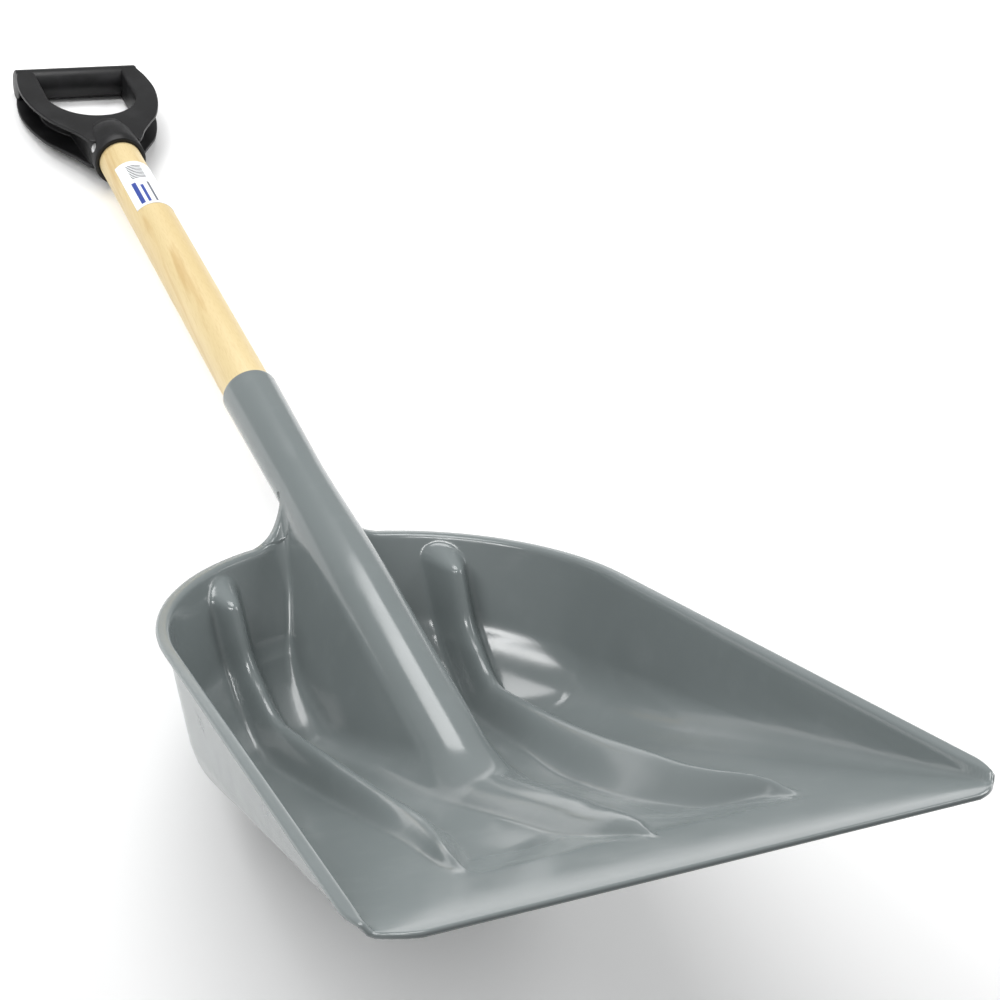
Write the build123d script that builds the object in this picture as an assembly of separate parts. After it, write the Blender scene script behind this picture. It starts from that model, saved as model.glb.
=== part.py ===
from build123d import *
import os
from math import atan2, asin, cos, degrees, hypot, radians, sin, tan

# Snow shovel: a moulded plastic scoop with a tubular socket, a wooden shaft turned down to fit it,
# and a moulded D-shaped hand grip pinned to the top of the shaft.  Millimetres.
#
# The scoop is drawn in its own frame: X across, Y from the front edge back to the heel, Z up out of
# the rim plane.  The shaft, grip and fasteners are drawn in the shaft frame: X across, Y up the
# shaft from the socket mouth, Z away from the ground.  Last, everything is tipped together on to
# the ground, where the shovel lies on its heel and its grip.

# ---- driving dimensions: scoop -------------------------------------------------------------
front_width = 341.0        # across the rim, at the front edge
scoop_length = 533.0       # front edge to the back of the rim
side_taper = 3.0           # degrees that each side narrows towards the back
bend_start = 365.0         # where the straight sides turn into the elliptical back
corner_radius = 36.0       # front corners
wall = 3.0                 # moulded wall
flange = 8.0               # rim flange, outer edge to inside of wall
lip = 6.0                  # flat strip behind the front edge
floor_slope = 15.2         # degrees, front part of the floor
floor_depth = 98.0         # rim plane to the level part of the floor
knee_radius = 190.0        # from the sloped floor to the level floor
side_draft = 6.0           # side walls
back_draft = 33.0          # back wall
bend_draft = 17.0          # how fast the start of the back bend moves forward with depth
root_radius = 28.0         # wall to floor, inside

# ---- driving dimensions: hump, ribs --------------------------------------------------------
shaft_rise = 22.24         # degrees between the rim plane and the shaft
socket_reach = 654.0       # front edge to the socket mouth, along the rim plane
socket_height = 75.9       # rim plane to the middle of the socket mouth
hump_radius = 22.5         # rounded back of the hump that carries the shaft on into the scoop
hump_draft = 13.0          # flanks of the hump
hump_start = 134.0         # below the socket mouth, along the shaft
rib_spread = 72.0          # middle of the scoop to each side rib
rib_width = 23.0           # side rib, behind the leaf
rib_height = 19.0          # side rib above the floor
leaf_width = 33.0          # spear-shaped front end of each rib
leaf_height = 7.0          # spear above the floor
leaf_tip = 68.0            # front edge to the points of the spears
leaf_length = 190.0        # each side spear
leaf_belly = 0.4           # share of a spear's length from its point to its widest part
centre_leaf_width = 38.0   # spear in front of the hump
centre_leaf_height = 10.0  # where it runs into the hump
rib_top_gap = 5.0          # rim plane down to the top of each side rib
gusset_foot = 46.0         # half width where the back wall starts to climb to the socket
gusset_top = 19.0          # half width where it meets the side of the socket
gusset_height = 24.0       # rim plane to where it meets the side of the socket

# ---- driving dimensions: socket, shaft -----------------------------------------------------
shaft_diameter = 36.5
socket_mouth_diameter = 41.4
socket_waist_diameter = 38.2
socket_waist = 107.0       # below the mouth
tenon_length = 176.0       # turned part of the shaft, inside the socket
tenon_tip_diameter = 28.6
tenon_clearance = 0.2      # all round the tenon
visible_shaft = 360.0      # socket mouth to the mouth of the grip

# ---- driving dimensions: grip --------------------------------------------------------------
grip_length = 155.0        # mouth of the collar to the middle of the hand bar
grip_width = 121.0
bar_diameter = 27.0
collar_diameter = 44.8
collar_top_diameter = 42.0
collar_length = 58.0
collar_clearance = 0.15    # all round the top of the shaft
shaft_in_grip = 46.0
grip_thickness = 27.0
grip_flange = 3.6          # front and back flanges of the arms
grip_web = 4.5             # wall round the hand opening
opening_width = 78.0
opening_drop = 64.0        # mouth of the collar to the lowest point of the hand opening
opening_bend = 40.0        # depth of the opening's rounded lower half
shoulder = 108.0           # mouth of the collar to the widest point of the arms
arm_root = 20.0            # mouth of the collar to where the arms leave it
arm_sink = 1.0             # how deep the arms run into the collar's side
arm_flare = 0.6            # sideways run for one up, where the arms leave the collar
collar_round = 10.5        # slope round the top of the collar

# ---- driving dimensions: fasteners and label -----------------------------------------------
pin_diameter = 5.0
pin_head_diameter = 8.4
pin_head_height = 1.2
pin_setback = 12.0         # from the mouth of the collar
pin_roll = 22.0            # degrees, pin turned about the shaft
pin_clearance = 0.05
screw_diameter = 4.0
screw_head_diameter = 8.0
screw_head_height = 2.6
screw_length = 22.0
screw_setback = 42.0       # from the socket mouth
screw_clearance = 0.05
label_length = 72.0
label_start = 254.0        # from the socket mouth
label_thickness = 0.15
label_angle = 200.0        # degrees of the shaft that it covers
label_turn = 47.0          # degrees from the top of the shaft to the middle of the label

# ---- values worked out from them -----------------------------------------------------------
overrun = 60.0             # how far cutting shapes run past what they cut
knee_sag = 12.0            # the rounded knee stands this much at most over the two floors
slope = tan(radians(floor_slope))
taper = tan(radians(side_taper))

shaft_radius = shaft_diameter / 2
axis_mouth = Vector(0, socket_reach, socket_height)
shaft_frame = Plane(
    origin=axis_mouth,
    x_dir=(1, 0, 0),
    z_dir=(0, -sin(radians(shaft_rise)), cos(radians(shaft_rise))),
)


def turned(*points):
    """Solid of revolution about the shaft; points are (radius, distance up the shaft)."""
    return revolve(make_face(Polyline(*points, close=True)), Axis.Y)


def in_scoop(shape):
    """A shape drawn in the shaft frame, moved to its place in the scoop's frame."""
    return shaft_frame.location * shape


# ---- scoop: the two faces of the bowl ------------------------------------------------------
def floor_height(y, drop):
    """Height of the floor under the rim plane, lowered square to itself by drop."""
    sloped = (lip - y) * slope - drop / cos(radians(floor_slope))
    return max(sloped, -floor_depth - drop)


def bowl_outline(z, grow_side, grow_back, front):
    """Tapered outline with an elliptical back, at height z against the rim plane."""
    half_front = front_width / 2 - flange + z * tan(radians(side_draft)) + grow_side
    apex = scoop_length - flange + z * tan(radians(back_draft)) + grow_back
    bend = bend_start + z * tan(radians(bend_draft))
    half_bend = half_front - taper * bend
    half_start = half_front - taper * front
    back = EllipticalCenterArc((0, bend), half_bend, apex - bend, 0, arc_size=180)
    sides = Polyline(
        (-half_bend, bend), (-half_start, front), (half_start, front), (half_bend, bend)
    )
    return Pos(0, 0, z) * make_face(back + sides)


def space_over_floor(drop):
    """Everything above the floor, lowered by drop, as an extruded side view."""
    knee = lip + floor_depth / slope - drop * tan(radians(floor_slope / 2))
    level = -floor_depth - drop
    side = make_face(
        Polyline(
            (-overrun, floor_height(-overrun, drop)),
            (knee, level),
            (scoop_length + overrun, level),
            (scoop_length + overrun, overrun),
            (-overrun, overrun),
            close=True,
        )
    )
    corner = side.vertices().sort_by_distance((knee, level, 0))[0]
    side = fillet(corner, knee_radius + drop)
    return extrude(Plane.YZ * side, front_width, both=True)


def bowl(thickness):
    """Space inside the bowl, grown by thickness at the walls and the floor."""
    grow_side = thickness / cos(radians(side_draft))
    grow_back = thickness / cos(radians(back_draft))
    sections = [
        bowl_outline(z, grow_side, grow_back, -overrun)
        for z in (overrun, -floor_depth - overrun)
    ]
    space = loft(sections, ruled=True) & space_over_floor(thickness)

    def is_root(edge):
        ends = [edge.position_at(t) for t in (0, 1)]
        on_floor = all(p.Z < floor_height(p.Y, thickness) + knee_sag for p in ends)
        return on_floor and edge.geom_type != GeomType.LINE

    return fillet(space.edges().filter_by(is_root), root_radius + thickness)


# ---- scoop: hump and ribs, each as a solid shape that is then hollowed by a smaller one -----
def hump(inset):
    """Arched hump along the shaft line; inset makes the smaller shape that hollows it."""
    radius = hump_radius - inset
    draft = radians(hump_draft)
    side, top = radius * cos(draft), radius * sin(draft)
    foot = side + (floor_depth + top) * tan(draft)
    arch = ThreePointArc((-side, top), (0, radius), (side, top))
    legs = Polyline((side, top), (foot, -floor_depth), (-foot, -floor_depth), (-side, top))
    across = Plane(origin=(0, -hump_start - inset, 0), x_dir=(1, 0, 0), z_dir=(0, -1, 0))
    section = across * mirror(make_face(arch + legs), Plane.YZ)
    return in_scoop(extrude(section, scoop_length))


def side_rib(inset):
    """Rib over one side of the floor and up the back wall, ending in a spear at the front."""
    width = rib_width / 2 - inset
    spear = leaf_width / 2 - inset
    tip = leaf_tip + inset
    end = leaf_tip + leaf_length
    belly = tip + leaf_length * leaf_belly
    plan = make_face(
        Spline((0, tip), (spear, belly), (width, end))
        + Line((width, end), (width, scoop_length))
        + Line((width, scoop_length), (-width, scoop_length))
        + Line((-width, scoop_length), (-width, end))
        + Spline((-width, end), (-spear, belly), (0, tip))
    )
    level = -floor_depth + rib_height - inset
    top = -rib_top_gap - inset
    rise = (top - level) * tan(radians(back_draft))
    wall_foot = scoop_length - flange - floor_depth * tan(radians(back_draft))
    back = wall_foot - rib_height + inset
    side = make_face(
        Polyline(
            (tip, floor_height(tip, 0)),
            (end, floor_height(end, 0) + leaf_height - inset),
            (back - leaf_length / 2, level),
            (back, level),
            (back + rise, top),
            (scoop_length, top),
            (scoop_length, -floor_depth - overrun),
            (tip, -floor_depth - overrun),
            close=True,
        )
    )
    outer = extrude(plan, floor_depth + overrun, dir=(0, 0, -1))
    return Pos(rib_spread, 0, 0) * (outer & extrude(Plane.YZ * side, rib_width * 2, both=True))


def centre_spear(inset):
    """Low spear on the floor in front of the hump; it runs on into the hump."""
    half = centre_leaf_width / 2 - inset
    tip = leaf_tip + inset
    end = leaf_tip + leaf_length
    belly = tip + leaf_length * leaf_belly
    edge = Spline((0, tip), (half, belly), (half, end), tangents=[(1, 1), (0, 1)])
    plan = make_face(edge + Line((half, end), (-half, end)) + mirror(edge, Plane.YZ))
    side = make_face(
        Polyline(
            (tip, floor_height(tip, 0)),
            (belly, floor_height(belly, 0) + leaf_height - inset),
            (end, floor_height(end, 0) + centre_leaf_height - inset),
            (end, -floor_depth - overrun),
            (tip, -floor_depth - overrun),
            close=True,
        )
    )
    outer = extrude(plan, floor_depth + overrun, dir=(0, 0, -1))
    return outer & extrude(Plane.YZ * side, centre_leaf_width, both=True)


def scoop():
    """The whole moulding: rim, bowl, hump, ribs, gussets and socket in one piece of plastic."""
    inside, outside = bowl(0), bowl(wall)
    rim_face = bowl_outline(0, flange, flange, 0)
    corners = rim_face.vertices().sort_by(Axis.Y)[:2]
    rim_face = fillet(corners, corner_radius)
    under_rim = extrude(rim_face, floor_depth + overrun, dir=(0, 0, -1))
    body = extrude(rim_face, wall, dir=(0, 0, -1)) + (outside & under_rim) - inside

    gusset_line = Polyline(
        (-gusset_foot, 0),
        (gusset_foot, 0),
        (gusset_top, gusset_height),
        (-gusset_top, gusset_height),
        close=True,
    )
    gusset_prism = extrude(Plane.XZ * make_face(gusset_line), -scoop_length - overrun)
    back_wall_raised = (outside - inside) & gusset_prism & Pos(0, scoop_length, 0) * Box(
        front_width, floor_depth * 2, overrun * 2
    )
    body += back_wall_raised

    right_rib, right_hollow = side_rib(0), side_rib(wall)
    for side in (right_rib, mirror(right_rib, Plane.YZ)):
        body += side & inside
    body += centre_spear(0) & inside
    body += hump(0) & inside
    hollows = [hump(wall), right_hollow, mirror(right_hollow, Plane.YZ), centre_spear(wall)]

    tube_end = -hump_start - wall
    tube = turned(
        (0, 0),
        (socket_mouth_diameter / 2, 0),
        (socket_waist_diameter / 2, -socket_waist),
        (hump_radius, tube_end),
        (0, tube_end),
    )
    body += in_scoop(tube)
    for hollow in hollows:
        body -= hollow
    return body - in_scoop(tenon(tenon_clearance)) - in_scoop(screw_shank(screw_clearance))


# ---- wooden shaft --------------------------------------------------------------------------
def tenon(grow):
    """Tapered lower end of the shaft; grow makes the socket's bore from it."""
    return turned(
        (0, 0),
        (shaft_radius + grow, 0),
        (tenon_tip_diameter / 2 + grow, -tenon_length - grow),
        (0, -tenon_length - grow),
    )


def shaft():
    top = visible_shaft + shaft_in_grip
    stick = turned((0, 0), (shaft_radius, 0), (shaft_radius, top), (0, top))
    return stick + tenon(0) - grip_pin_hole() - screw_shank(screw_clearance)


# ---- D grip --------------------------------------------------------------------------------
def bar_height():
    return visible_shaft + grip_length


def opening_plan(grow):
    """Hand opening: straight under the bar, half an ellipse at the bottom."""
    half = opening_width / 2 + grow
    low = visible_shaft + opening_drop + opening_bend
    bottom = EllipticalCenterArc((0, low), half, opening_bend + grow, 180, arc_size=180)
    top = bar_height()
    return make_face(bottom + Polyline((half, low), (half, top), (-half, top), (-half, low)))


def arms_plan():
    """Outline of both arms: out from the collar, round the shoulder and up to the bar."""
    root = visible_shaft + arm_root
    half_root = collar_diameter / 2 - arm_sink
    half = grip_width / 2
    shoulder_height = visible_shaft + shoulder
    right = Spline(
        (half_root, root), (half, shoulder_height), tangents=[(arm_flare, 1), (0, 1)]
    ) + Line((half, shoulder_height), (half, bar_height()))
    top = Line((half, bar_height()), (-half, bar_height()))
    foot = Line((-half_root, root), (half_root, root))
    return make_face(right + top + mirror(right, Plane.YZ) + foot)


def grip():
    arms = extrude(arms_plan(), grip_thickness / 2, both=True)
    channel = arms_plan() - opening_plan(grip_web)
    keep = Pos(0, bar_height(), 0) * Rectangle(grip_width * 2, bar_diameter + grip_web)
    keep += Pos(0, visible_shaft, 0) * Rectangle(collar_diameter + grip_web, 2 * opening_drop)
    channel = extrude(channel - keep, grip_thickness / 2 - grip_flange, both=True)
    bar = Pos(0, bar_height(), 0) * Rot(0, 90, 0) * Cylinder(bar_diameter / 2, grip_width)
    opening = extrude(opening_plan(0), grip_thickness, both=True)
    collar_top = visible_shaft + collar_length
    collar = turned(
        (0, visible_shaft),
        (collar_diameter / 2, visible_shaft),
        (collar_top_diameter / 2, collar_top - collar_round),
        (collar_top_diameter / 2 - collar_round, collar_top),
        (0, collar_top),
    )
    depth = visible_shaft + shaft_in_grip + collar_clearance
    bore_radius = shaft_radius + collar_clearance
    mouth = visible_shaft - overrun
    bore = turned((0, mouth), (bore_radius, mouth), (bore_radius, depth), (0, depth))
    return arms - channel - opening + bar + collar - bore - grip_pin_hole()


# ---- fasteners -----------------------------------------------------------------------------
def on_pin_axis(shape):
    """A shape drawn along Z, laid across the collar and turned about the shaft."""
    return Pos(0, visible_shaft + pin_setback, 0) * Rot(0, 90 + pin_roll, 0) * shape


def grip_pin_hole():
    return on_pin_axis(Cylinder(pin_diameter / 2 + pin_clearance, collar_diameter + overrun))


def grip_pin():
    """Steel rivet through collar and shaft, with a low domed head at each end."""
    seat = collar_diameter / 2
    dome = (pin_head_diameter**2 / 4 + pin_head_height**2) / (2 * pin_head_height)
    head = Pos(0, 0, seat + pin_head_height - dome) * Sphere(dome)
    head &= Pos(0, 0, seat + pin_head_height / 2) * Cylinder(pin_head_diameter / 2, pin_head_height)
    shank = Cylinder(pin_diameter / 2, 2 * seat)
    return on_pin_axis(shank + head + mirror(head, Plane.XY))


def screw_seat():
    """Middle of the shaft to the under side of the screw's head, just clear of the socket."""
    narrowing = (socket_mouth_diameter - socket_waist_diameter) / 2 / socket_waist
    upper_edge = screw_setback - screw_head_diameter / 2
    return socket_mouth_diameter / 2 - narrowing * upper_edge + screw_clearance


def screw_shank(grow):
    """Straight part of the screw, up through the under side of the socket into the shaft."""
    middle = screw_length / 2 - screw_seat()
    return Pos(0, -screw_setback, middle) * Cylinder(screw_diameter / 2 + grow, screw_length)


def socket_screw():
    middle = -screw_seat() - screw_head_height / 2
    head = Cylinder(screw_head_diameter / 2, screw_head_height)
    return screw_shank(0) + Pos(0, -screw_setback, middle) * head


# ---- label ---------------------------------------------------------------------------------
def label():
    """Paper sticker wrapped part of the way round the shaft."""
    strip = make_face(
        Polyline(
            (shaft_radius, label_start),
            (shaft_radius + label_thickness, label_start),
            (shaft_radius + label_thickness, label_start + label_length),
            (shaft_radius, label_start + label_length),
            close=True,
        )
    )
    first_edge = label_turn - 90 - label_angle / 2
    return Rot(0, first_edge, 0) * revolve(strip, Axis.Y, label_angle)


# ---- lying on the ground -------------------------------------------------------------------
def heel_circle():
    """Middle (y, z) and radius of the rounding under the heel, beside the hump's hollow."""
    radius = root_radius + wall
    z = -floor_depth - wall + radius
    bend = bend_start + z * tan(radians(bend_draft))
    apex = scoop_length - flange + z * tan(radians(back_draft))
    half_bend = front_width / 2 - flange + z * tan(radians(side_draft)) - taper * bend
    edge = hump_radius + (floor_depth - radius) * tan(radians(hump_draft))
    curve = bend + (apex - bend) * (1 - (edge / half_bend) ** 2) ** 0.5
    return curve + wall / cos(radians(back_draft)) - radius / cos(radians(back_draft)), z, radius


def resting_place():
    """Moves the scoop's frame so that heel and hand bar touch the ground, with the origin under
    the middle of the whole shovel."""
    heel_y, heel_z, heel_radius = heel_circle()
    bar_radius = bar_diameter / 2
    bar = shaft_frame.from_local_coords(Vector(0, bar_height(), 0))
    run, rise = bar.Y - heel_y, bar.Z - heel_z
    tilt = atan2(rise, run) + asin((heel_radius - bar_radius) / hypot(run, rise))
    ground = heel_z * cos(tilt) - heel_y * sin(tilt) - heel_radius
    front = -wall * sin(tilt)
    back = bar.Y * cos(tilt) + bar.Z * sin(tilt) + bar_radius
    return Pos(0, -(front + back) / 2, -ground) * Rot(-degrees(tilt), 0, 0)


place = resting_place()
nodes = {
    "scoop": scoop(),
    "shaft": in_scoop(shaft()),
    "d_grip": in_scoop(grip()),
    "grip_pin": in_scoop(grip_pin()),
    "socket_screw": in_scoop(socket_screw()),
    "shaft_label": in_scoop(label()),
}
os.makedirs("parts", exist_ok=True)
for name, shape in nodes.items():
    export_step(place * shape, f"parts/{name}.step")
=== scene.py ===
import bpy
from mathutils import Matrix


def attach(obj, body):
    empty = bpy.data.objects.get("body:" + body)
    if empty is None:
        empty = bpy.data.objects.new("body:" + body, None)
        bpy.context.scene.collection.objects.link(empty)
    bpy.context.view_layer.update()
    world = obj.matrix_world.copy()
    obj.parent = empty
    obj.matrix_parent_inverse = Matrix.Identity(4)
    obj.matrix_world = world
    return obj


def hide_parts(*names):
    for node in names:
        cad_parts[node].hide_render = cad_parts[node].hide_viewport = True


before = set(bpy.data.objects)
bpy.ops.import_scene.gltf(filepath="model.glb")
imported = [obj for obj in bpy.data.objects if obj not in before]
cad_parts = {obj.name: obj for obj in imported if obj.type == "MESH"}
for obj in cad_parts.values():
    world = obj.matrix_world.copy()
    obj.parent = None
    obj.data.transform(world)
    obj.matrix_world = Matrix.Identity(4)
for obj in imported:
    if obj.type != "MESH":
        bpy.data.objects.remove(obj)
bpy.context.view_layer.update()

from math import cos, pi, radians, sin, tan

import bmesh
import bpy
import numpy as np
from mathutils import Matrix, Vector

# ---- the scoop ---------------------------------------------------------------------------------
# One injection moulding in glossy grey plastic, 3 mm thick: rim flange, bowl, the hump that
# carries the shaft's line down into the floor, two side ribs, and the tube that takes the shaft.

# The shovel lies on the ground on its heel and hand bar.  Its shaft runs from the socket's mouth
# to the hand bar, sloping a little down, and the scoop's rim plane is tipped forward from it.
shaft_dip = radians(5.355)
rim_to_shaft = radians(22.24)
mouth_centre = Vector((0, 0.04495, 0.06156))
along_shaft = Vector((0, cos(shaft_dip), -sin(shaft_dip)))
off_shaft = Vector((0, sin(shaft_dip), cos(shaft_dip)))


def from_shaft(points):
    """Points given as x, distance up the shaft and distance above it, moved to the ground's frame."""
    points = np.asarray(points, float)
    place = np.array([[1, 0, 0], list(along_shaft), list(off_shaft)])
    return points @ place + np.array(mouth_centre)


def solid_from(name, points, faces):
    """A smooth-shaded mesh object whose normals point outwards."""
    mesh = bpy.data.meshes.new(name)
    mesh.from_pydata([tuple(p) for p in points], [], faces)
    obj = bpy.data.objects.new(name, mesh)
    bpy.context.collection.objects.link(obj)
    tidy = bmesh.new()
    tidy.from_mesh(mesh)
    bmesh.ops.remove_doubles(tidy, verts=tidy.verts, dist=2e-6)
    bmesh.ops.recalc_face_normals(tidy, faces=tidy.faces)
    tidy.to_mesh(mesh)
    tidy.free()
    mesh.shade_smooth()
    return obj


# Sizes in millimetres.  x runs across, y back from the front edge along the rim plane, z up from
# that plane, s up the shaft from the socket's mouth, and height is over the shaft's line.
front_half = 170.3
side_taper = 0.0527
bend_start = 365.0
scoop_length = 533.0
front_corner = 36.0
flange = 8.0
floor_depth = 97.5
side_draft = tan(radians(6.0))
back_draft = tan(radians(33.0))
bend_draft = tan(radians(17.0))
root_blend = 34.0
wall = 3.0
edge_round = wall / 2
socket_reach = 654.0
socket_height = 75.9
cos_rise, sin_rise = cos(rim_to_shaft), sin(rim_to_shaft)
gusset_foot_width = 46.0
gusset_sweep = 26.0
gusset_start = -149.0
gusset_end = -119.0
bulkhead = -128.0
mouth_radius = 20.7
mouth_round = 0.8
waist_radius = 19.1
waist_reach = 107
hump_radius = 22.5
hump_lean = radians(13.0)
bore_radius = 18.45
bore_shown = 8


def smooth_max(a, b, reach):
    """The larger of two values, rounded where they cross within reach."""
    near = np.clip(reach - np.abs(a - b), 0, None) / reach
    return np.maximum(a, b) + near * near * reach / 4


def smooth_min(a, b, reach):
    """The smaller of two values, rounded where they cross within reach."""
    return -smooth_max(-a, -b, reach)


def ramp(value, low, high):
    """Eased step from 0 at low to 1 at high."""
    t = np.clip((value - low) / (high - low), 0, 1)
    return t * t * (3 - 2 * t)


def through(value, stations, values):
    """A curve through a few stations, eased by sampling both sides."""
    spread = 9.0
    steps = [np.interp(value + k * spread, stations, values) for k in (-1, 0, 1)]
    return (steps[0] + 2 * steps[1] + steps[2]) / 4


def socket_radius(s):
    """Radius of the socket tube and of the hump's back, at distance s up the shaft."""
    tube = mouth_radius + (waist_radius - mouth_radius) * np.clip(-s / waist_reach, 0, 1)
    return tube + (hump_radius - waist_radius) * ramp(-s, 100, 240)


def to_rim_plane(s, height):
    """Distance back from the front edge and height over the rim plane."""
    y = socket_reach + s * cos_rise - height * sin_rise
    z = socket_height + s * sin_rise + height * cos_rise
    return y, z


def floor_of(x, y):
    """Height of the floor, with the lower valleys on both sides of the centre spear."""
    strip = smooth_max(0.235 * y, 0.285 * y - 1.1, 0.8)
    outer = -smooth_min(strip, 3.6 + 0.24 * y, 2) - 0.07 * smooth_max(y - 200, 0 * y, 90)
    outer_foot = through(y, [68, 100, 200, 300], [86, 92, 89, 88])
    inner_foot = through(y, [68, 85, 129, 162, 188, 231, 300], [86, 81, 64, 55, 49, 44, 48])
    side = 1 - ramp(x, inner_foot, np.maximum(outer_foot, inner_foot + 12))
    depth = 11 * ramp(y, 62, 135) * (1 - ramp(y, 240, 340))
    valley = depth * side * (0.55 + 0.45 * ramp(x, 18, 52))
    return smooth_max(outer - valley, -floor_depth + 0 * y, 40)


def rib_height_at(x, y, z):
    """How far the side rib stands over the floor or the back wall."""
    crest = through(y, [97, 114, 135, 165, 260, 380, 430, 485], [90, 86, 79, 73, 71, 72, 74, 78])
    outer_line = [97, 128, 157, 184, 267, 320, 380, 440, 485]
    outer = through(y, outer_line, [95, 92, 90, 89, 83, 83, 86, 89, 92])
    inner_line = [97, 129, 162, 188, 231, 300, 380, 440, 485]
    inner = through(y, inner_line, [86, 64, 55, 49, 48, 52, 56, 61, 64])
    height = through(y, [78, 100, 125, 165, 260, 380, 430, 500], [0, 6, 9.5, 12, 18, 21, 20, 18])
    inside = (crest - x) / np.maximum(crest - inner, 3)
    outside = (x - crest) / np.maximum(outer - crest, 3)
    cap = np.clip(z + 17, 0, None) / 13
    away = np.clip(np.hypot(np.maximum(inside, outside), cap), 0, 1)
    ridge = 0.5 + 0.5 * np.cos(pi * away**1.15)
    sharp = 1 - ramp(y, 120, 240)
    ridge = ridge * (1 - 0.45 * sharp) + 0.45 * sharp * (1 - away)
    return height * ridge


def centre_spear(x, y):
    """Height of the pointed ridge in front of the hump."""
    back_from_tip = [66, 72, 80, 90, 105, 122, 160, 260, 300]
    half = through(y, back_from_tip, [0.5, 4, 9, 14, 17.5, 19.5, 21, 26, 30])
    height = through(y, [64, 80, 104, 140, 190, 250, 300], [0, 6, 10, 12, 12, 11, 12])
    away = np.abs(x) / half
    return height * smooth_max(1 - away * away, 0 * away, 0.2)


def air(x, s, height):
    """Positive above the scoop's upper surface, zero on it, negative inside the plastic."""
    # The side walls and the elliptical back wall, leaning out by their draft.
    y, z = to_rim_plane(s, height)
    half = front_half - flange + z * side_draft - side_taper * y
    bend = bend_start + z * bend_draft
    reach = scoop_length - flange + z * back_draft - bend
    turn = np.clip((y - bend) / reach, 0, None)
    inside = 1 - (x / half) ** 2 - turn**2
    slope = np.sqrt((2 * x / half**2) ** 2 + (2 * turn / reach) ** 2) + 1e-9
    draft = np.where(turn > 0.3, 0.87, 0.98)
    to_wall = np.clip(inside / slope * draft, -200, 200)
    # The floor runs into the walls in a wide root, and the side ribs stand on it.
    blend = root_blend * np.clip(-z / 60, 0.06, 1) * (1 + 0.8 * ramp(turn, 0.2, 0.8))
    bowl = smooth_min(z - floor_of(x, y) - centre_spear(x, y), to_wall, blend)
    bowl = bowl - rib_height_at(x, y, z)
    # The back wall rises into the gussets beside the socket.
    sweep = np.clip(gusset_foot_width - x, 0, gusset_sweep)
    raised = gusset_sweep - np.sqrt(np.clip(gusset_sweep**2 - sweep**2, 0, None))
    raised = raised * ramp(y, 490, 520) + 4 * ramp(s, -135, -119)
    bowl = smooth_max(bowl, z - raised, 3.0)
    bowl = bowl + 2 * np.clip(s + 117.5, 0, None)
    # The hump: round on top, with sides that lean out towards the floor.
    radius = socket_radius(s)
    lean = hump_lean * ramp(-s, 105, 230)
    across = x * np.cos(lean) + height * np.sin(lean)
    round_top = np.sqrt(x * x + height * height) - radius
    hump = np.where(height * np.cos(lean) - x * np.sin(lean) > 0, round_top, across - radius)
    crease = 3 + 9 * ramp(s, -185, -150) + 11 * ramp(-s, 190, 270)
    return smooth_min(bowl, hump, 0.2 + crease * (1 - ramp(s, -135, -120)))


def surface_height(x, s):
    """Height of the upper surface over the shaft's line, found by halving."""
    halvings = 30
    low = np.full(x.shape, -140.0)
    high = np.full(x.shape, 260.0)
    for _ in range(halvings):
        middle = (low + high) / 2
        above = air(x, s, middle) > 0
        high = np.where(above, middle, high)
        low = np.where(above, low, middle)
    return (low + high) / 2


def half_width(s):
    """Half width of the moulding's outline at distance s up the shaft."""
    y = (s + socket_height * sin_rise) / cos_rise + socket_reach
    side = front_half - side_taper * y
    turn = np.clip((y - bend_start) / (scoop_length - bend_start), 0, 1)
    back = side * np.sqrt(np.clip(1 - turn**2, 0, 1))
    corner = np.clip(front_corner - y, 0, front_corner)
    front = back - front_corner + np.sqrt(front_corner**2 - corner**2)
    ease = np.clip((s - gusset_start) / (gusset_end - gusset_start), 0, 1)
    web = socket_radius(s) + gusset_sweep * (1 - ease) ** 2
    return np.where(s < gusset_start, front, np.maximum(web, socket_radius(s)))


def stations():
    """Distances up the shaft for the rows of the mesh, closer where the outline turns."""
    front = socket_reach * -cos_rise - socket_height * sin_rise
    corner = front_corner * cos_rise
    rows = [front + edge_round + corner * (1 - cos(k * pi / 36)) for k in range(18)]
    while rows[-1] < -mouth_round:
        s = rows[-1]
        step = 2.0 if s < -360 else 2.6
        if -230 < s < -110:
            step = 0.9
        rows.append(s + step)
    rows[-1] = -mouth_round
    return np.array(rows)


rows = stations()
outline = half_width(rows)
bead_fade = 8
bead_inset = edge_round * np.clip((gusset_end - rows) / bead_fade, 0, 1)
edge = np.where(rows < gusset_end, outline - bead_inset, outline)
edge_slope = np.clip(np.abs(np.gradient(edge, rows)), 0, 4)
fine_samples = 420
fine = np.linspace(0, 1, fine_samples)
flange_steps = np.array([0, 0.9, 1.9, 3.0, 4.1, 5.0, 5.8, 6.5, 7.2, 8.0, 9.0, 10.5, 12.5])
inner_columns = 96
tube_share = 0.35

# Columns keep even distances along the flange, and inside it they are spread evenly over the
# length of the surface, so that the steep walls get as many as the floor.
half_grid = []
for s, w, lean in zip(rows, edge, edge_slope):
    if s < gusset_start:
        stretch = min(np.sqrt(1 + lean * lean), max(w - 30, 4) / flange_steps[-1])
        outer_x = w - flange_steps * stretch
    else:
        outer_x = w - flange_steps * tube_share * w / gusset_foot_width
    x = fine * outer_x[-1]
    for samples in (fine_samples, fine_samples, inner_columns + 1):
        z = surface_height(x, np.full(x.shape, s))
        run = np.concatenate([[0], np.cumsum(np.hypot(np.diff(x), np.diff(z)))])
        x = np.interp(np.linspace(0, run[-1], samples), run, x)
    half_grid.append(np.concatenate([x, outer_x[:-1][::-1]]))
half_grid = np.array(half_grid)
column_x = np.concatenate([-half_grid[:, :0:-1], half_grid], axis=1)
row_s = np.repeat(rows[:, None], column_x.shape[1], axis=1)
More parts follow.
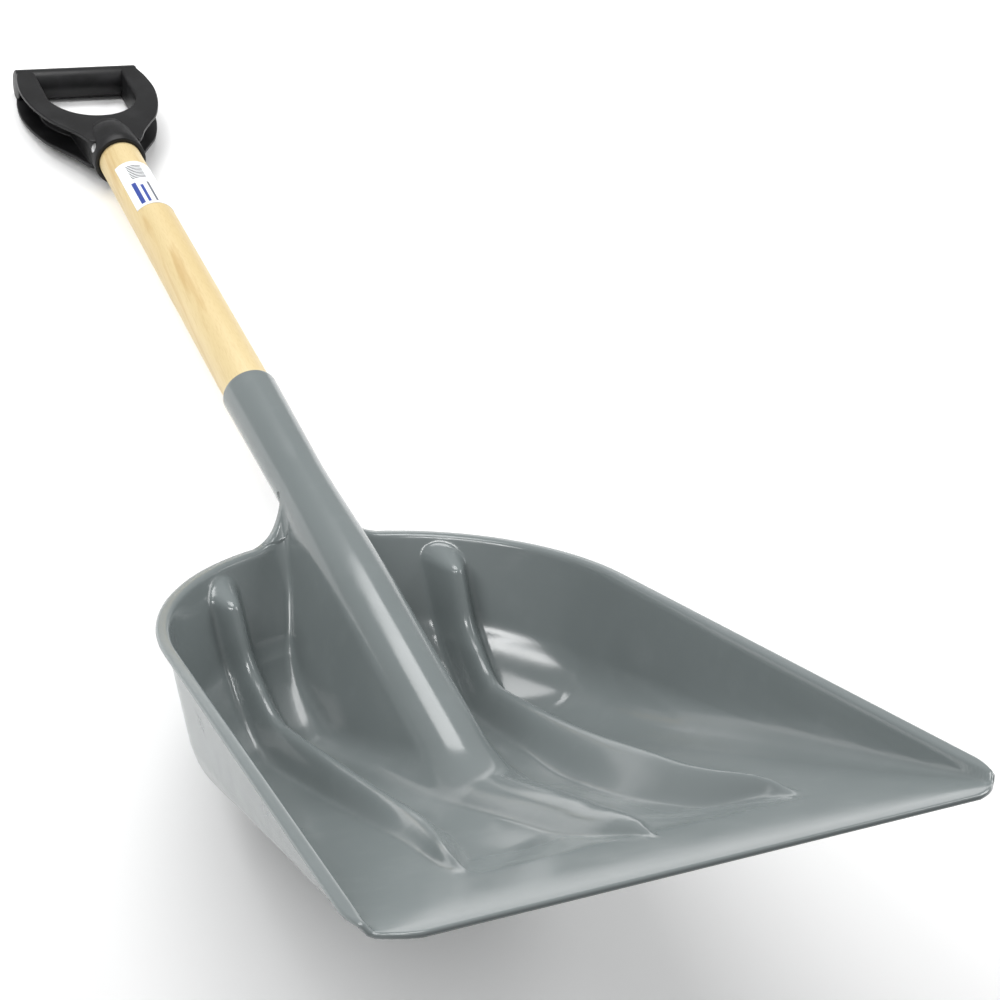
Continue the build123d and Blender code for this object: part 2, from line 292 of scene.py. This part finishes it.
tube_rows = row_s > gusset_end
tube_height = np.sqrt(np.clip(socket_radius(row_s) ** 2 - column_x**2, 0, None))
top_height = surface_height(np.abs(column_x), row_s)
top_height = np.where(tube_rows, tube_height, top_height)
top = np.stack([column_x, row_s, top_height], axis=-1)


def surface_normals(x, s, height):
    """Unit normals of the upper surface, from how the air value changes around each point."""
    near = 0.15
    side = np.where(x < 0, -1.0, 1.0)
    x = np.abs(x)
    normal = np.stack(
        [
            side * (air(x + near, s, height) - air(np.abs(x - near), s, height)),
            air(x, s + near, height) - air(x, s - near, height),
            air(x, s, height + near) - air(x, s, height - near),
        ],
        axis=-1,
    )
    normal[x < near, 0] = 0
    normal /= np.maximum(np.linalg.norm(normal, axis=-1, keepdims=True), 1e-9)
    for axis in (0, 1):
        before, after = np.roll(normal, 1, axis), np.roll(normal, -1, axis)
        inner = (before + 2 * normal + after) / 4
        if axis == 0:
            normal[1:-1] = inner[1:-1]
        else:
            normal[:, 1:-1] = inner[:, 1:-1]
    return normal / np.maximum(np.linalg.norm(normal, axis=-1, keepdims=True), 1e-9)


normals = surface_normals(column_x, row_s, top_height)
under = top - wall * normals
closed_tube = row_s > bulkhead
web_thickness = 2.5
web_drop = web_thickness * np.clip((gusset_end - row_s) / 4, 0, 1)
lower_height = np.where(np.abs(column_x) > 0.8 * socket_radius(row_s), top_height - web_drop, 0)
lower_half = np.stack([column_x, row_s, np.minimum(-tube_height, lower_height)], axis=-1)
under = np.where(closed_tube[..., None], lower_half, under)

# The two skins are joined by a rounded bead that follows the outline.
count_rows, count_columns = column_x.shape
chain = [(j, 0) for j in range(count_rows - 1, -1, -1)]
chain += [(0, i) for i in range(1, count_columns)]
chain += [(j, count_columns - 1) for j in range(1, count_rows)]
chain_points = np.array([top[j, i] for j, i in chain])
chain_normals = np.array([normals[j, i] for j, i in chain])
chain_run = np.gradient(chain_points, axis=0)
chain_out = np.cross(chain_run, chain_normals)
chain_out /= np.maximum(np.linalg.norm(chain_out, axis=1, keepdims=True), 1e-9)
round_size = edge_round * np.clip((gusset_end - chain_points[:, 1]) / bead_fade, 0, 1)

points = list(top.reshape(-1, 3)) + list(under.reshape(-1, 3))
offset = count_rows * count_columns
faces = []
for j in range(count_rows - 1):
    for i in range(count_columns - 1):
        a = j * count_columns + i
        b = a + count_columns
        faces.append((a, a + 1, b + 1, b))
        faces.append((offset + a, offset + b, offset + b + 1, offset + a + 1))
bead_steps = 6
previous = [j * count_columns + i for j, i in chain]
for k in range(1, bead_steps + 1):
    angle = pi * k / bead_steps
    if k < bead_steps:
        centre = chain_points - round_size[:, None] * chain_normals
        ring = centre + round_size[:, None] * (sin(angle) * chain_out + cos(angle) * chain_normals)
        start = len(points)
        points += list(ring)
        current = list(range(start, start + len(chain)))
    else:
        current = [offset + j * count_columns + i for j, i in chain]
    for n in range(len(chain) - 1):
        faces.append((previous[n], previous[n + 1], current[n + 1], current[n]))
    previous = current

# The socket's mouth: a small round, the end face, and the start of the bore.
last = (count_rows - 1) * count_columns
loop = [last + i for i in range(count_columns)]
loop += [offset + last + i for i in range(count_columns - 2, 0, -1)]
loop_points = np.array([points[n] for n in loop])
radial = loop_points[:, [0, 2]] / np.linalg.norm(loop_points[:, [0, 2]], axis=1, keepdims=True)
previous = loop
mouth_rings = [(mouth_radius - 0.2, -0.3), (mouth_radius - mouth_round, 0)]
mouth_rings += [(bore_radius, 0), (bore_radius, -bore_shown)]
for radius, s in mouth_rings:
    start = len(points)
    points += [(r[0] * radius, s, r[1] * radius) for r in radial]
    current = list(range(start, start + len(loop)))
    for n in range(len(loop)):
        m = (n + 1) % len(loop)
        faces.append((previous[n], previous[m], current[m], current[n]))
    previous = current
scoop = solid_from("scoop_moulding", from_shaft(np.array(points) / 1000), faces)
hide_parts("scoop")
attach(scoop, "root")


def blend_colours(tree, factor, first, second):
    """Mixes two colours, each a constant or another node's output."""
    mix = tree.nodes.new("ShaderNodeMix")
    mix.data_type = "RGBA"
    tree.links.new(factor, mix.inputs["Factor"])
    for socket, colour in ((mix.inputs[6], first), (mix.inputs[7], second)):
        if isinstance(colour, tuple):
            socket.default_value = colour
        else:
            tree.links.new(colour, socket)
    return mix.outputs[2]


def remap(tree, value, low, high, new_low, new_high):
    """Range of a value, clamped and moved to another range."""
    node = tree.nodes.new("ShaderNodeMapRange")
    numbers = (low, high, new_low, new_high)
    for name, number in zip(("From Min", "From Max", "To Min", "To Max"), numbers):
        node.inputs[name].default_value = number
    tree.links.new(value, node.inputs["Value"])
    return node.outputs["Result"]


def noise(tree, where, scale, detail, roughness):
    """Soft noise value over the given coordinates."""
    node = tree.nodes.new("ShaderNodeTexNoise")
    node.inputs["Scale"].default_value = scale
    node.inputs["Detail"].default_value = detail
    node.inputs["Roughness"].default_value = roughness
    tree.links.new(where, node.inputs["Vector"])
    return node.outputs["Fac"]


def stretched(tree, scale):
    """Object coordinates turned on to the shaft's line, then stretched."""
    coordinates = tree.nodes.new("ShaderNodeTexCoord")
    mapping = tree.nodes.new("ShaderNodeMapping")
    mapping.inputs["Rotation"].default_value = (shaft_dip, 0, 0)
    mapping.inputs["Scale"].default_value = scale
    tree.links.new(coordinates.outputs["Object"], mapping.inputs["Vector"])
    return mapping.outputs["Vector"]


def raised_by(tree, height, distance, strength):
    """Bump normal from a height value; distance in metres."""
    bump = tree.nodes.new("ShaderNodeBump")
    bump.inputs["Distance"].default_value = distance
    bump.inputs["Strength"].default_value = strength
    tree.links.new(height, bump.inputs["Height"])
    return bump.outputs["Normal"]


def new_material(name):
    """A new material with its node tree and its Principled shader."""
    material = bpy.data.materials.new(name)
    material.use_nodes = True
    return material, material.node_tree, material.node_tree.nodes["Principled BSDF"]


# Grey polypropylene: glossy, with faint cloudy flow marks, a dull patch here and there, and fine
# scuffs along the way the snow slides.
plastic, tree, shader = new_material("grey_gloss_plastic")
even = stretched(tree, (1, 1, 1))
flow = noise(tree, even, 7.0, 4.0, 0.55)
grime = noise(tree, even, 38.0, 5.0, 0.6)
scuffs = noise(tree, stretched(tree, (520, 16, 60)), 1.0, 2.0, 0.4)
clouds = remap(tree, flow, 0.32, 0.68, 0.0, 1.0)
grey = blend_colours(tree, clouds, (0.158, 0.181, 0.182, 1), (0.171, 0.194, 0.196, 1))
dust = remap(tree, grime, 0.55, 0.8, 0.0, 0.10)
grey = blend_colours(tree, dust, grey, (0.275, 0.30, 0.305, 1))
tree.links.new(grey, shader.inputs["Base Color"])
dull = tree.nodes.new("ShaderNodeMath")
dull.operation = "ADD"
tree.links.new(remap(tree, grime, 0.35, 0.7, 0.15, 0.20), dull.inputs[0])
tree.links.new(remap(tree, scuffs, 0.66, 0.85, 0.0, 0.07), dull.inputs[1])
tree.links.new(dull.outputs["Value"], shader.inputs["Roughness"])
peel = noise(tree, even, 90.0, 2.0, 0.5)
tree.links.new(raised_by(tree, peel, 0.0002, 0.05), shader.inputs["Normal"])
shader.inputs["IOR"].default_value = 1.5
shader.inputs["Specular IOR Level"].default_value = 0.5
scoop.data.materials.append(plastic)


# ---- the wooden shaft ----------------------------------------------------------------------------
# A round stick turned from pale softwood and lightly lacquered.  Its lower end is turned to a
# taper that is pressed into the socket, and its top end sits in the grip's collar.
def turned(name, profile, sides=96):
    """Closed solid of revolution about the shaft's line, from (radius, distance up it) points."""
    rings = [(radius, s) for radius, s in profile if radius > 0]
    ring_points = []
    for radius, s in rings:
        for n in range(sides):
            angle = 2 * pi * n / sides
            ring_points.append((radius * sin(angle), s, radius * cos(angle)))
    ring_faces = []
    for k in range(len(rings) - 1):
        for n in range(sides):
            m = (n + 1) % sides
            ring_faces.append(
                (k * sides + n, k * sides + m, (k + 1) * sides + m, (k + 1) * sides + n)
            )
    last_ring = (len(rings) - 1) * sides
    ring_faces.append(tuple(range(sides)))
    ring_faces.append(tuple(range(last_ring, last_ring + sides)))
    return solid_from(name, from_shaft(np.array(ring_points) / 1000), ring_faces)


shaft_radius = 18.25
taper_tip = 14.6
taper_gain = 3.5
taper_start = -174.8
taper_length = 173
hand_turned = 0.06
stick_profile = [(14.3, -175.5), (taper_tip, taper_start)]
for k in range(1, 13):
    stick_profile += [(taper_tip + taper_gain * k / 12, taper_start + taper_length * k / 12)]
stick_profile += [(shaft_radius, 0.5)]
stick_profile += [(shaft_radius - hand_turned * sin(k * 1.7) ** 2, 12.0 * k) for k in range(1, 34)]
stick_profile += [(shaft_radius - 0.4, 405.0), (shaft_radius - 1.4, 405.9)]
stick = turned("softwood_shaft", stick_profile)
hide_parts("shaft")
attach(stick, "root")

# Pale sapwood: long wavering grain lines with darker late wood, fine pores and a satin lacquer.
wood, tree, shader = new_material("pale_softwood")
long_grain = stretched(tree, (120, 1.6, 120))
waver = noise(tree, stretched(tree, (9, 2.2, 9)), 1.0, 2.0, 0.5)
wander = tree.nodes.new("ShaderNodeVectorMath")
wander.operation = "ADD"
tree.links.new(long_grain, wander.inputs[0])
shift = tree.nodes.new("ShaderNodeCombineXYZ")
tree.links.new(remap(tree, waver, 0.3, 0.7, -0.6, 0.6), shift.inputs["X"])
tree.links.new(remap(tree, waver, 0.3, 0.7, 0.5, -0.5), shift.inputs["Z"])
tree.links.new(shift.outputs["Vector"], wander.inputs[1])
rings = noise(tree, wander.outputs["Vector"], 1.0, 3.0, 0.5)
fibres = noise(tree, stretched(tree, (1500, 26, 1500)), 1.0, 2.0, 0.5)
broad = noise(tree, stretched(tree, (26, 3, 26)), 1.0, 2.0, 0.5)
tone = blend_colours(
    tree, remap(tree, broad, 0.35, 0.65, 0, 1), (0.60, 0.47, 0.24, 1), (0.68, 0.56, 0.32, 1)
)
late = remap(tree, rings, 0.55, 0.68, 0, 0.55)
tone = blend_colours(tree, late, tone, (0.46, 0.29, 0.10, 1))
tone = blend_colours(tree, remap(tree, fibres, 0.5, 0.75, 0, 0.35), tone, (0.47, 0.33, 0.15, 1))
tree.links.new(tone, shader.inputs["Base Color"])
tree.links.new(remap(tree, fibres, 0.3, 0.7, 0.34, 0.52), shader.inputs["Roughness"])
tree.links.new(raised_by(tree, fibres, 0.00012, 0.5), shader.inputs["Normal"])
stick.data.materials.append(wood)


# ---- the D grip ----------------------------------------------------------------------------------
# One black satin moulding: a collar over the top of the shaft, two arms with an open channel down
# their outer sides, and the hand bar across them.  The steel pin holds it on the shaft.
bar_line = 515.0
bar_radius = 13.5
half_bar = 55.5
bar_end_round = 1.6
half_thickness = 13.4
half_channel = 9.9
inner_line = [(0, 424), (8, 424.8), (16, 427.5), (23, 431.7), (29, 437.3), (34, 444.6)]
inner_line += [(37.3, 452.3), (38.7, 459), (39, 466), (39, 480), (39, 498), (39, 515)]
outer_line = [(0, 380), (11, 377), (21, 375), (30, 392), (39, 406), (47.5, 419), (54, 436)]
outer_line += [(58, 452), (60.2, 469), (60, 484), (58, 500), (54.5, 515)]


def spline_through(points, steps):
    """Smooth line through the given points."""
    knots = np.array([points[0]] + points + [points[-1]], float)
    line = []
    for k in range(len(points) - 1):
        p0, p1, p2, p3 = knots[k : k + 4]
        for n in range(steps):
            t = n / steps
            line.append(
                0.5
                * (
                    2 * p1
                    + (p2 - p0) * t
                    + (2 * p0 - 5 * p1 + 4 * p2 - p3) * t * t
                    + (3 * p1 - p0 - 3 * p2 + p3) * t**3
                )
            )
    line.append(knots[-1])
    return np.array(line)


def rounded(corners, steps=5):
    """Outline with each corner (u, v, radius) rounded off."""
    line = []
    count = len(corners)
    for k, (u, v, radius) in enumerate(corners):
        here = np.array((u, v))
        to_last = np.array(corners[k - 1][:2]) - here
        to_next = np.array(corners[(k + 1) % count][:2]) - here
        reach_last, reach_next = np.linalg.norm(to_last), np.linalg.norm(to_next)
        cut = min(radius, 0.45 * reach_last, 0.45 * reach_next)
        start = here + to_last / max(reach_last, 1e-9) * cut
        end = here + to_next / max(reach_next, 1e-9) * cut
        for n in range(steps + 1):
            t = n / steps
            line.append((1 - t) ** 2 * start + 2 * t * (1 - t) * here + t * t * end)
    return line


def arm_section(length, floor_of_channel):
    """Channel section of an arm: u outwards from the hand opening, v through the thickness."""
    return rounded(
        [
            (0, half_thickness, 3.5),
            (length, half_thickness, 1.7),
            (length, half_channel, 1.2),
            (floor_of_channel, 9.7, 2.0),
            (floor_of_channel, -9.7, 2.0),
            (length, -half_channel, 1.2),
            (length, -half_thickness, 1.7),
            (0, -half_thickness, 3.5),
        ]
    )


inner = spline_through(inner_line, 6)
outer = spline_through(outer_line, 6)
sections = []
for (ix, iy), (ox, oy) in zip(inner, outer):
    length = float(np.hypot(ox - ix, oy - iy))
    filled = 1 - float(ramp(np.array(abs(ox)), 20, 34))
    channel = 4.5 + (length - 5.0) * filled
    ring = []
    for u, v in arm_section(length, channel):
        ring.append((ix + (ox - ix) * u / length, iy + (oy - iy) * u / length, v))
    sections.append(ring)
left = [[(-x, y, z) for x, y, z in ring] for ring in sections[:0:-1]]
sections = left + sections
width = len(sections[0])
arm_points = np.array([p for ring in sections for p in ring])
arm_faces = []
for k in range(len(sections) - 1):
    for n in range(width):
        m = (n + 1) % width
        arm_faces.append((k * width + n, k * width + m, (k + 1) * width + m, (k + 1) * width + n))
arm_faces.append(tuple(range(width)))
arm_faces.append(tuple((len(sections) - 1) * width + n for n in range(width)))
arms = solid_from("grip_arms", from_shaft(arm_points / 1000), arm_faces)

collar_profile = [(0.02, 406.2), (18.35, 406.2), (18.35, 360.5), (18.8, 360), (21.9, 360)]
collar_profile += [(22.3, 360.5), (22.4, 372), (22.0, 384), (21.3, 393), (19.2, 400)]
collar_profile += [(15.5, 405.5), (9, 410), (0.02, 412)]
collar = turned("grip_collar", collar_profile)

bar_points = []
bar_sides = 64
bar_profile = []
for t in np.linspace(pi / 2, 0, 6):
    reach = half_bar - bar_end_round + bar_end_round * sin(t)
    bar_profile.append((reach, bar_end_round * cos(t) - bar_end_round))
bar_stations = [(-x, inset) for x, inset in bar_profile] + [(x, inset) for x, inset in bar_profile[::-1]]
for x, inset in bar_stations:
    for n in range(bar_sides):
        angle = 2 * pi * n / bar_sides
        radius = bar_radius + inset
        bar_points.append((x, bar_line + radius * cos(angle), radius * sin(angle)))
bar_faces = [tuple(range(bar_sides)), tuple(range(len(bar_points) - bar_sides, len(bar_points)))]
for k in range(len(bar_stations) - 1):
    for n in range(bar_sides):
        m = (n + 1) % bar_sides
        a = k * bar_sides
        bar_faces.append((a + n, a + m, a + bar_sides + m, a + bar_sides + n))
bar = solid_from("grip_bar", from_shaft(np.array(bar_points) / 1000), bar_faces)
for piece in (arms, collar, bar):
    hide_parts("d_grip")
    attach(piece, "root")

# Black satin plastic with a fine moulded grain, greyer where hands rub it.
black, tree, shader = new_material("black_satin_plastic")
even = stretched(tree, (1, 1, 1))
grain = noise(tree, even, 1400.0, 2.0, 0.6)
worn = noise(tree, even, 45.0, 4.0, 0.6)
dark = blend_colours(
    tree, remap(tree, worn, 0.45, 0.7, 0, 1), (0.006, 0.006, 0.0065, 1), (0.012, 0.012, 0.013, 1)
)
tree.links.new(dark, shader.inputs["Base Color"])
tree.links.new(remap(tree, worn, 0.3, 0.7, 0.36, 0.48), shader.inputs["Roughness"])
shader.inputs["Specular IOR Level"].default_value = 0.28
tree.links.new(raised_by(tree, grain, 0.00008, 0.5), shader.inputs["Normal"])
for piece in (arms, collar, bar):
    piece.data.materials.append(black)


# ---- the pin and the screw -----------------------------------------------------------------------
# A zinc-plated rivet with low domed heads goes through the grip's collar and the shaft.  A short
# pan-head screw under the socket keeps the shaft in it.
steel, tree, shader = new_material("zinc_plated_steel")
even = stretched(tree, (1, 1, 1))
plating = noise(tree, even, 700.0, 3.0, 0.6)
smears = noise(tree, stretched(tree, (300, 2500, 300)), 1.0, 2.0, 0.5)
bright = blend_colours(
    tree, remap(tree, plating, 0.35, 0.7, 0, 1), (0.62, 0.62, 0.61, 1), (0.48, 0.48, 0.50, 1)
)
tree.links.new(bright, shader.inputs["Base Color"])
tree.links.new(remap(tree, smears, 0.3, 0.7, 0.24, 0.42), shader.inputs["Roughness"])
tree.links.new(raised_by(tree, smears, 0.00003, 0.4), shader.inputs["Normal"])
shader.inputs["Metallic"].default_value = 1.0
for name in ("grip_pin", "socket_screw"):
    small_part = bpy.data.objects.get(name)
    if small_part is not None:
        small_part.data.materials.clear()
        small_part.data.materials.append(steel)


# ---- the sticker ---------------------------------------------------------------------------------
# White paper sticker wrapped most of the way round the shaft below the grip, printed with plain
# bars only.  Its edges stand a hair off the wood.
label_from, label_to = 254.0, 326.0
first_angle, last_angle = radians(-53), radians(147)
label_columns, label_rows = 64, 24
glue_gap = 0.02
paper_thickness = 0.15
label_points = []
for layer in (0.0, paper_thickness):
    for j in range(label_rows + 1):
        for i in range(label_columns + 1):
            angle = first_angle + (last_angle - first_angle) * i / label_columns
            s = label_from + (label_to - label_from) * j / label_rows
            radius = shaft_radius + (glue_gap + layer)
            label_points.append((radius * sin(angle), s, radius * cos(angle)))
stride = label_columns + 1
layer_size = stride * (label_rows + 1)
label_faces = []
for j in range(label_rows):
    for i in range(label_columns):
        a = j * stride + i
        label_faces.append((a, a + 1, a + stride + 1, a + stride))
        b = a + layer_size
        label_faces.append((b, b + stride, b + stride + 1, b + 1))
border = [(0, i) for i in range(label_columns)] + [(j, label_columns) for j in range(label_rows)]
border += [(label_rows, i) for i in range(label_columns, 0, -1)]
border += [(j, 0) for j in range(label_rows, 0, -1)]
for n in range(len(border)):
    j0, i0 = border[n]
    j1, i1 = border[(n + 1) % len(border)]
    a, b = j0 * stride + i0, j1 * stride + i1
    label_faces.append((a, b, b + layer_size, a + layer_size))
sticker = solid_from("paper_sticker", from_shaft(np.array(label_points) / 1000), label_faces)
unrolled = sticker.data.uv_layers.new(name="unrolled")
to_shaft = np.array([[1, 0, 0], list(along_shaft), list(off_shaft)])
for loop_corner in sticker.data.loops:
    corner = np.array(sticker.data.vertices[loop_corner.vertex_index].co)
    at = to_shaft @ (corner - np.array(mouth_centre))
    around = (np.arctan2(at[0], at[2]) - first_angle) / (last_angle - first_angle)
    along = (at[1] * 1000 - label_from) / (label_to - label_from)
    unrolled.data[loop_corner.index].uv = (around, along)
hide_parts("shaft_label")
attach(sticker, "root")

# White paper with plain blue and grey bars and a row of black ticks.
paper, tree, shader = new_material("printed_paper")
where = tree.nodes.new("ShaderNodeTexCoord")
parts = tree.nodes.new("ShaderNodeSeparateXYZ")
tree.links.new(where.outputs["UV"], parts.inputs["Vector"])


def band(tree, value, low, high):
    """1 between low and high, else 0."""
    above = tree.nodes.new("ShaderNodeMath")
    above.operation = "GREATER_THAN"
    above.inputs[1].default_value = low
    below = tree.nodes.new("ShaderNodeMath")
    below.operation = "LESS_THAN"
    below.inputs[1].default_value = high
    both = tree.nodes.new("ShaderNodeMath")
    both.operation = "MULTIPLY"
    tree.links.new(value, above.inputs[0])
    tree.links.new(value, below.inputs[0])
    tree.links.new(above.outputs["Value"], both.inputs[0])
    tree.links.new(below.outputs["Value"], both.inputs[1])
    return both.outputs["Value"]


def product(tree, first, second):
    """Two values multiplied."""
    node = tree.nodes.new("ShaderNodeMath")
    node.operation = "MULTIPLY"
    tree.links.new(first, node.inputs[0])
    tree.links.new(second, node.inputs[1])
    return node.outputs["Value"]


across_label, along_label = parts.outputs["X"], parts.outputs["Y"]
pulp = noise(tree, stretched(tree, (1, 1, 1)), 220.0, 3.0, 0.6)
printed = blend_colours(tree, pulp, (0.78, 0.80, 0.82, 1), (0.86, 0.87, 0.88, 1))
blue_ink = (0.02, 0.05, 0.28, 1)
grey_ink = (0.12, 0.13, 0.16, 1)
black_ink = (0.03, 0.03, 0.03, 1)
for low, high, start, end, ink in (
    (0.10, 0.16, 0.05, 0.52, blue_ink),
    (0.20, 0.24, 0.05, 0.44, blue_ink),
    (0.30, 0.33, 0.05, 0.50, grey_ink),
):
    bar_mask = product(
        tree, band(tree, across_label, low, high), band(tree, along_label, start, end)
    )
    printed = blend_colours(tree, bar_mask, printed, ink)
ticks = tree.nodes.new("ShaderNodeTexWave")
ticks.wave_type = "BANDS"
ticks.bands_direction = "Y"
ticks.inputs["Scale"].default_value = 9.0
tree.links.new(where.outputs["UV"], ticks.inputs["Vector"])
tick_mask = product(
    tree, band(tree, ticks.outputs["Fac"], 0.5, 1.1), band(tree, along_label, 0.60, 0.90)
)
tick_mask = product(tree, tick_mask, band(tree, across_label, 0.14, 0.34))
printed = blend_colours(tree, tick_mask, printed, black_ink)
tree.links.new(printed, shader.inputs["Base Color"])
fibre = noise(tree, stretched(tree, (1, 1, 1)), 900.0, 2.0, 0.6)
tree.links.new(remap(tree, fibre, 0.3, 0.7, 0.42, 0.55), shader.inputs["Roughness"])
tree.links.new(raised_by(tree, fibre, 0.00004, 0.3), shader.inputs["Normal"])
sticker.data.materials.append(paper)


# ---- studio ----------------------------------------------------------------------------------------
# A plain pale floor under large soft lights, and the camera above the scoop's front left corner.
bpy.ops.mesh.primitive_plane_add(size=14, location=(0, 0, 0))
ground = bpy.context.object
ground.name = "studio_floor"
pale, tree, shader = new_material("studio_paper")
even = stretched(tree, (1, 1, 1))
mottle = noise(tree, even, 3.0, 3.0, 0.5)
floor_tone = blend_colours(tree, mottle, (0.90, 0.90, 0.90, 1), (0.93, 0.93, 0.93, 1))
tree.links.new(floor_tone, shader.inputs["Base Color"])
tree.links.new(remap(tree, mottle, 0.3, 0.7, 0.85, 0.95), shader.inputs["Roughness"])
ground.data.materials.append(pale)


def soft_light(name, place, aim, size, power):
    """Rectangular soft light at a place, aimed at a point; size in metres, power in watts."""
    lamp = bpy.data.lights.new(name, "AREA")
    lamp.shape = "RECTANGLE"
    lamp.size, lamp.size_y = size
    lamp.energy = power
    obj = bpy.data.objects.new(name, lamp)
    obj.location = place
    obj.rotation_euler = (Vector(aim) - Vector(place)).to_track_quat("-Z", "Y").to_euler()
    bpy.context.collection.objects.link(obj)


soft_light("right_softbox", (1.7, 0.1, 1.25), (0, -0.3, 0.1), (0.95, 1.7), 27)
soft_light("top_softbox", (-0.2, 1.3, 1.9), (0, -0.2, 0.1), (1.6, 0.9), 34)
soft_light("left_strip", (-1.3, 0.2, 1.5), (0, -0.3, 0.1), (0.25, 1.6), 22)
sky_strength = 0.36
world = bpy.data.worlds.new("studio")
world.use_nodes = True
world.node_tree.nodes["Background"].inputs["Color"].default_value = (1, 1, 1, 1)
world.node_tree.nodes["Background"].inputs["Strength"].default_value = sky_strength
bpy.context.scene.world = world
bpy.context.scene.view_settings.view_transform = "Standard"

focal_length = 68.4
camera_place = (-0.40857, -0.96361, 0.94373)
lens = bpy.data.cameras.new("camera")
lens.sensor_width = 36
lens.lens = focal_length
camera = bpy.data.objects.new("camera", lens)
camera_right = Vector((0.90396, -0.38589, 0.18427))
camera_up = Vector((0.13427, 0.66526, 0.73444))
turn = Matrix((camera_right, camera_up, camera_right.cross(camera_up))).transposed()
camera.matrix_world = Matrix.Translation(camera_place) @ turn.to_4x4()
bpy.context.collection.objects.link(camera)
bpy.context.scene.camera = camera
